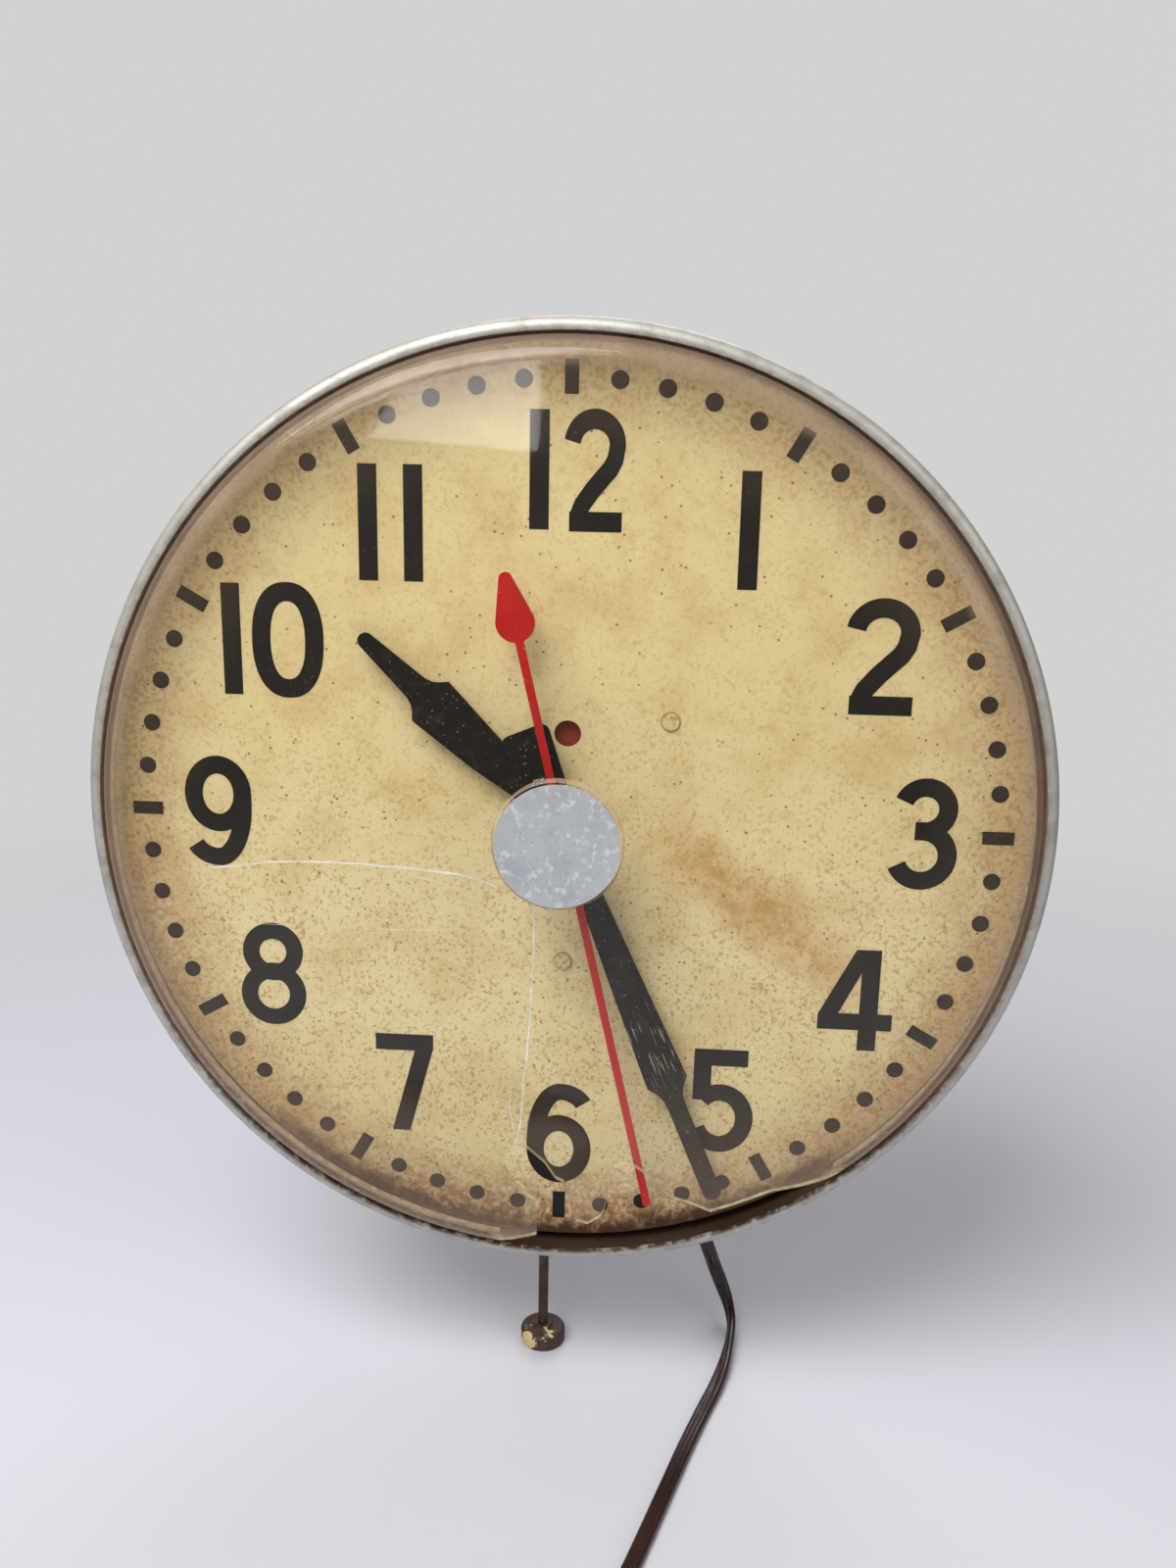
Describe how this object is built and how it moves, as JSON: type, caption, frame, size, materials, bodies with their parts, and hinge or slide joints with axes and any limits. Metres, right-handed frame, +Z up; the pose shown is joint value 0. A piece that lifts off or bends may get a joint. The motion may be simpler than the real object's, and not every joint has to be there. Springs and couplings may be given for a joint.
{
  "type": "electric wall clock",
  "caption": "Round mains wall clock: metal pan case, domed clear crystal, printed dial, three hands, motor movement with bottom set knob, and a flat cord with plug.",
  "frame": {"origin": "centre of the hanger keyhole's round mouth, on the case's back face", "axes": "+X to the right of the dial, +Y back into the wall, +Z up the dial towards twelve"},
  "size_m": [0.3414, 0.2536, 0.3997],
  "materials": {
    "case_metal": "grey enamel over steel, dull and dusty",
    "band_aluminium": "oxidised aluminium, finely pitted",
    "gasket": "old rubber with brown dirt",
    "clear_plastic": "clear acrylic, hazed and cracked",
    "hub_silver": "silver paint, speckled",
    "dial_paint": "cream enamel, yellowed and stained",
    "brass": "plain brass",
    "steel": "plain steel",
    "hand_black": "black enamel, dusty",
    "hand_red": "deep red enamel",
    "copper_can": "copper plated can",
    "core_steel": "lacquered laminations",
    "bobbin_fibre": "pressed fibre",
    "coil_wire": "varnished tape over copper wire",
    "stem_steel": "browned steel",
    "knob_plastic": "moulded plastic with chipped paint",
    "flag_red": "dark red enamel",
    "wire_cover": "black insulation",
    "splice_plastic": "ivory plastic",
    "cord_rubber": "dark brown rubber",
    "tie_wire": "covered tie wire",
    "plug_rubber": "dark brown moulded rubber"
  },
  "bodies": {
    "case": {"case_pan": "case_metal", "front_band": "band_aluminium", "band_clip": "band_aluminium", "crystal_gasket": "gasket", "crystal": "clear_plastic", "hub_disc": "hub_silver", "dial_plate": "dial_paint", "dial_screws": "dial_paint", "dial_spacers": "brass", "case_posts": "case_metal", "case_screws": "steel", "front_plate": "brass", "rear_plate": "brass", "plate_pillars": "brass", "plate_screws": "steel", "rotor_can": "copper_can", "field_core": "core_steel", "field_bobbin": "bobbin_fibre", "field_coil": "coil_wire", "field_posts": "brass", "field_screws": "steel", "stem_bracket": "case_metal", "stem_bushing": "case_metal", "flag_pin": "steel", "lead_wires": "wire_cover", "wire_splices": "splice_plastic", "hanger_plate": "case_metal", "hanger_rivets": "steel", "strain_relief": "cord_rubber", "power_cord": "cord_rubber", "cord_coil": "cord_rubber", "cord_tie": "tie_wire", "cord_tail": "cord_rubber", "plug_body": "plug_rubber", "plug_blades": "brass"},
    "second_hand_set": {"second_arbor": "steel", "second_wheel": "brass", "second_hand": "hand_red"},
    "rotor": {"rotor_pinion": "steel"},
    "third": {"third_arbor": "steel", "third_wheel": "brass"},
    "minute_wheel": {"minute_wheel": "brass"},
    "minute_hand_set": {"minute_tube": "brass", "minute_hand": "hand_black", "clutch_spring": "brass"},
    "hour_hand_set": {"hour_wheel": "brass", "hour_hand": "hand_black"},
    "motion": {"motion_arbor": "steel", "motion_wheel": "brass", "set_crown": "brass"},
    "set_spindle": {"set_stem": "stem_steel", "set_knob": "knob_plastic", "set_pinion": "brass"},
    "flag": {"indicator_flag": "flag_red"}
  },
  "joints": [
    {"name": "second_turn", "type": "hinge", "parent": "case", "child": "second_hand_set", "pos_m": [0, -0.055, -0.12], "axis": [0, 1, 0], "continuous": true},
    {"name": "rotor_turn", "type": "hinge", "parent": "case", "child": "rotor", "pos_m": [0, -0.031, -0.1062], "axis": [0, 1, 0], "continuous": true},
    {"name": "third_turn", "type": "hinge", "parent": "case", "child": "third", "pos_m": [0.01691, -0.035, -0.11384], "axis": [0, 1, 0], "continuous": true},
    {"name": "minute_wheel_turn", "type": "hinge", "parent": "case", "child": "minute_wheel", "pos_m": [0, -0.041, -0.12], "axis": [0, 1, 0], "continuous": true},
    {"name": "minute_turn", "type": "hinge", "parent": "case", "child": "minute_hand_set", "pos_m": [0, -0.055, -0.12], "axis": [0, 1, 0], "continuous": true},
    {"name": "hour_turn", "type": "hinge", "parent": "case", "child": "hour_hand_set", "pos_m": [0, -0.055, -0.12], "axis": [0, 1, 0], "continuous": true},
    {"name": "motion_turn", "type": "hinge", "parent": "case", "child": "motion", "pos_m": [-0.0075, -0.047, -0.13767], "axis": [0, 1, 0], "continuous": true},
    {"name": "set_turn", "type": "hinge", "parent": "case", "child": "set_spindle", "pos_m": [-0.0075, -0.0325, -0.32], "axis": [0, 0, 1], "continuous": true},
    {"name": "flag_swing", "type": "hinge", "parent": "case", "child": "flag", "pos_m": [0.0005, -0.0515, -0.07], "axis": [0, 1, 0], "range_deg": [0, 42]}
  ],
  "couplings": [
    {"joint": "rotor_turn", "follows": "second_turn", "ratio": -3.6},
    {"joint": "third_turn", "follows": "second_turn", "ratio": -0.13333},
    {"joint": "minute_wheel_turn", "follows": "second_turn", "ratio": 0.016667},
    {"joint": "hour_turn", "follows": "minute_turn", "ratio": 0.083333},
    {"joint": "motion_turn", "follows": "minute_turn", "ratio": -0.33333},
    {"joint": "set_turn", "follows": "minute_turn", "ratio": 0.8}
  ]
}
